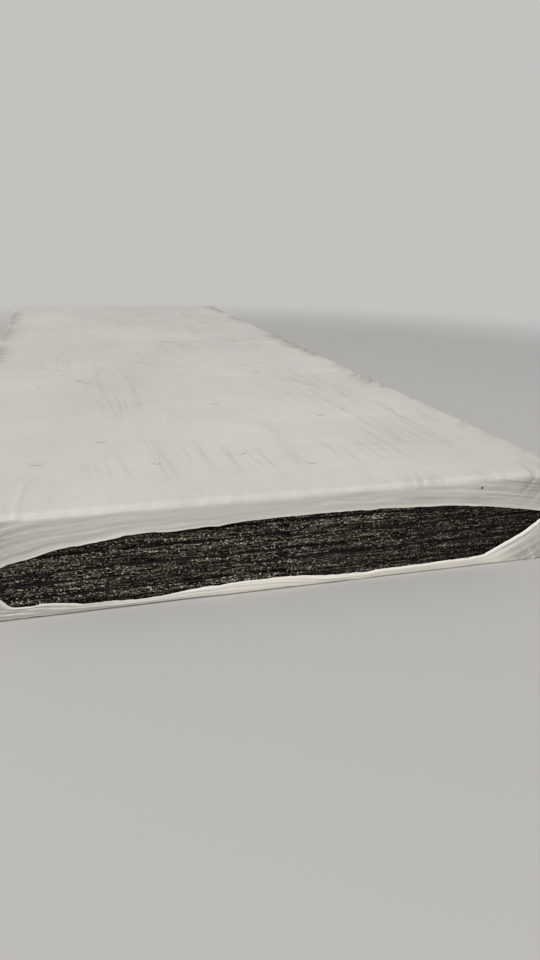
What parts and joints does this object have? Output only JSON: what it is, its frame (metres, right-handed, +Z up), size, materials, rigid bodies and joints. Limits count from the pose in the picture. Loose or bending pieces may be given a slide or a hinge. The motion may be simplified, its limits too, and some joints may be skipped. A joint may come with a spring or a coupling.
{
  "type": "asphalt shingle bundle",
  "caption": "Bundle of laminated asphalt roof shingles, nested so that their thick halves alternate, in a white film sleeve drawn in to an eye-shaped opening at each end.",
  "frame": {"origin": "on the floor under the middle of the bundle's underside", "axes": "+X across the shingles, +Y along their length away from the end seen first, +Z up"},
  "size_m": [0.3556, 1.046, 0.055],
  "materials": {
    "shingle": "matt, mineral granules in black asphalt",
    "film": "satin white polyethylene film, wrinkled where it is drawn in"
  },
  "bodies": {
    "root": {"shingle_01": "shingle", "shingle_02": "shingle", "shingle_03": "shingle", "shingle_04": "shingle", "shingle_05": "shingle", "shingle_06": "shingle", "shingle_07": "shingle", "shingle_08": "shingle", "shingle_09": "shingle", "shingle_10": "shingle", "shingle_11": "shingle", "shingle_12": "shingle", "shingle_13": "shingle", "shingle_14": "shingle", "shingle_15": "shingle", "shingle_16": "shingle", "shingle_17": "shingle", "shingle_18": "shingle", "shingle_19": "shingle", "shingle_20": "shingle", "film_wrap": "film"}
  },
  "joints": []
}
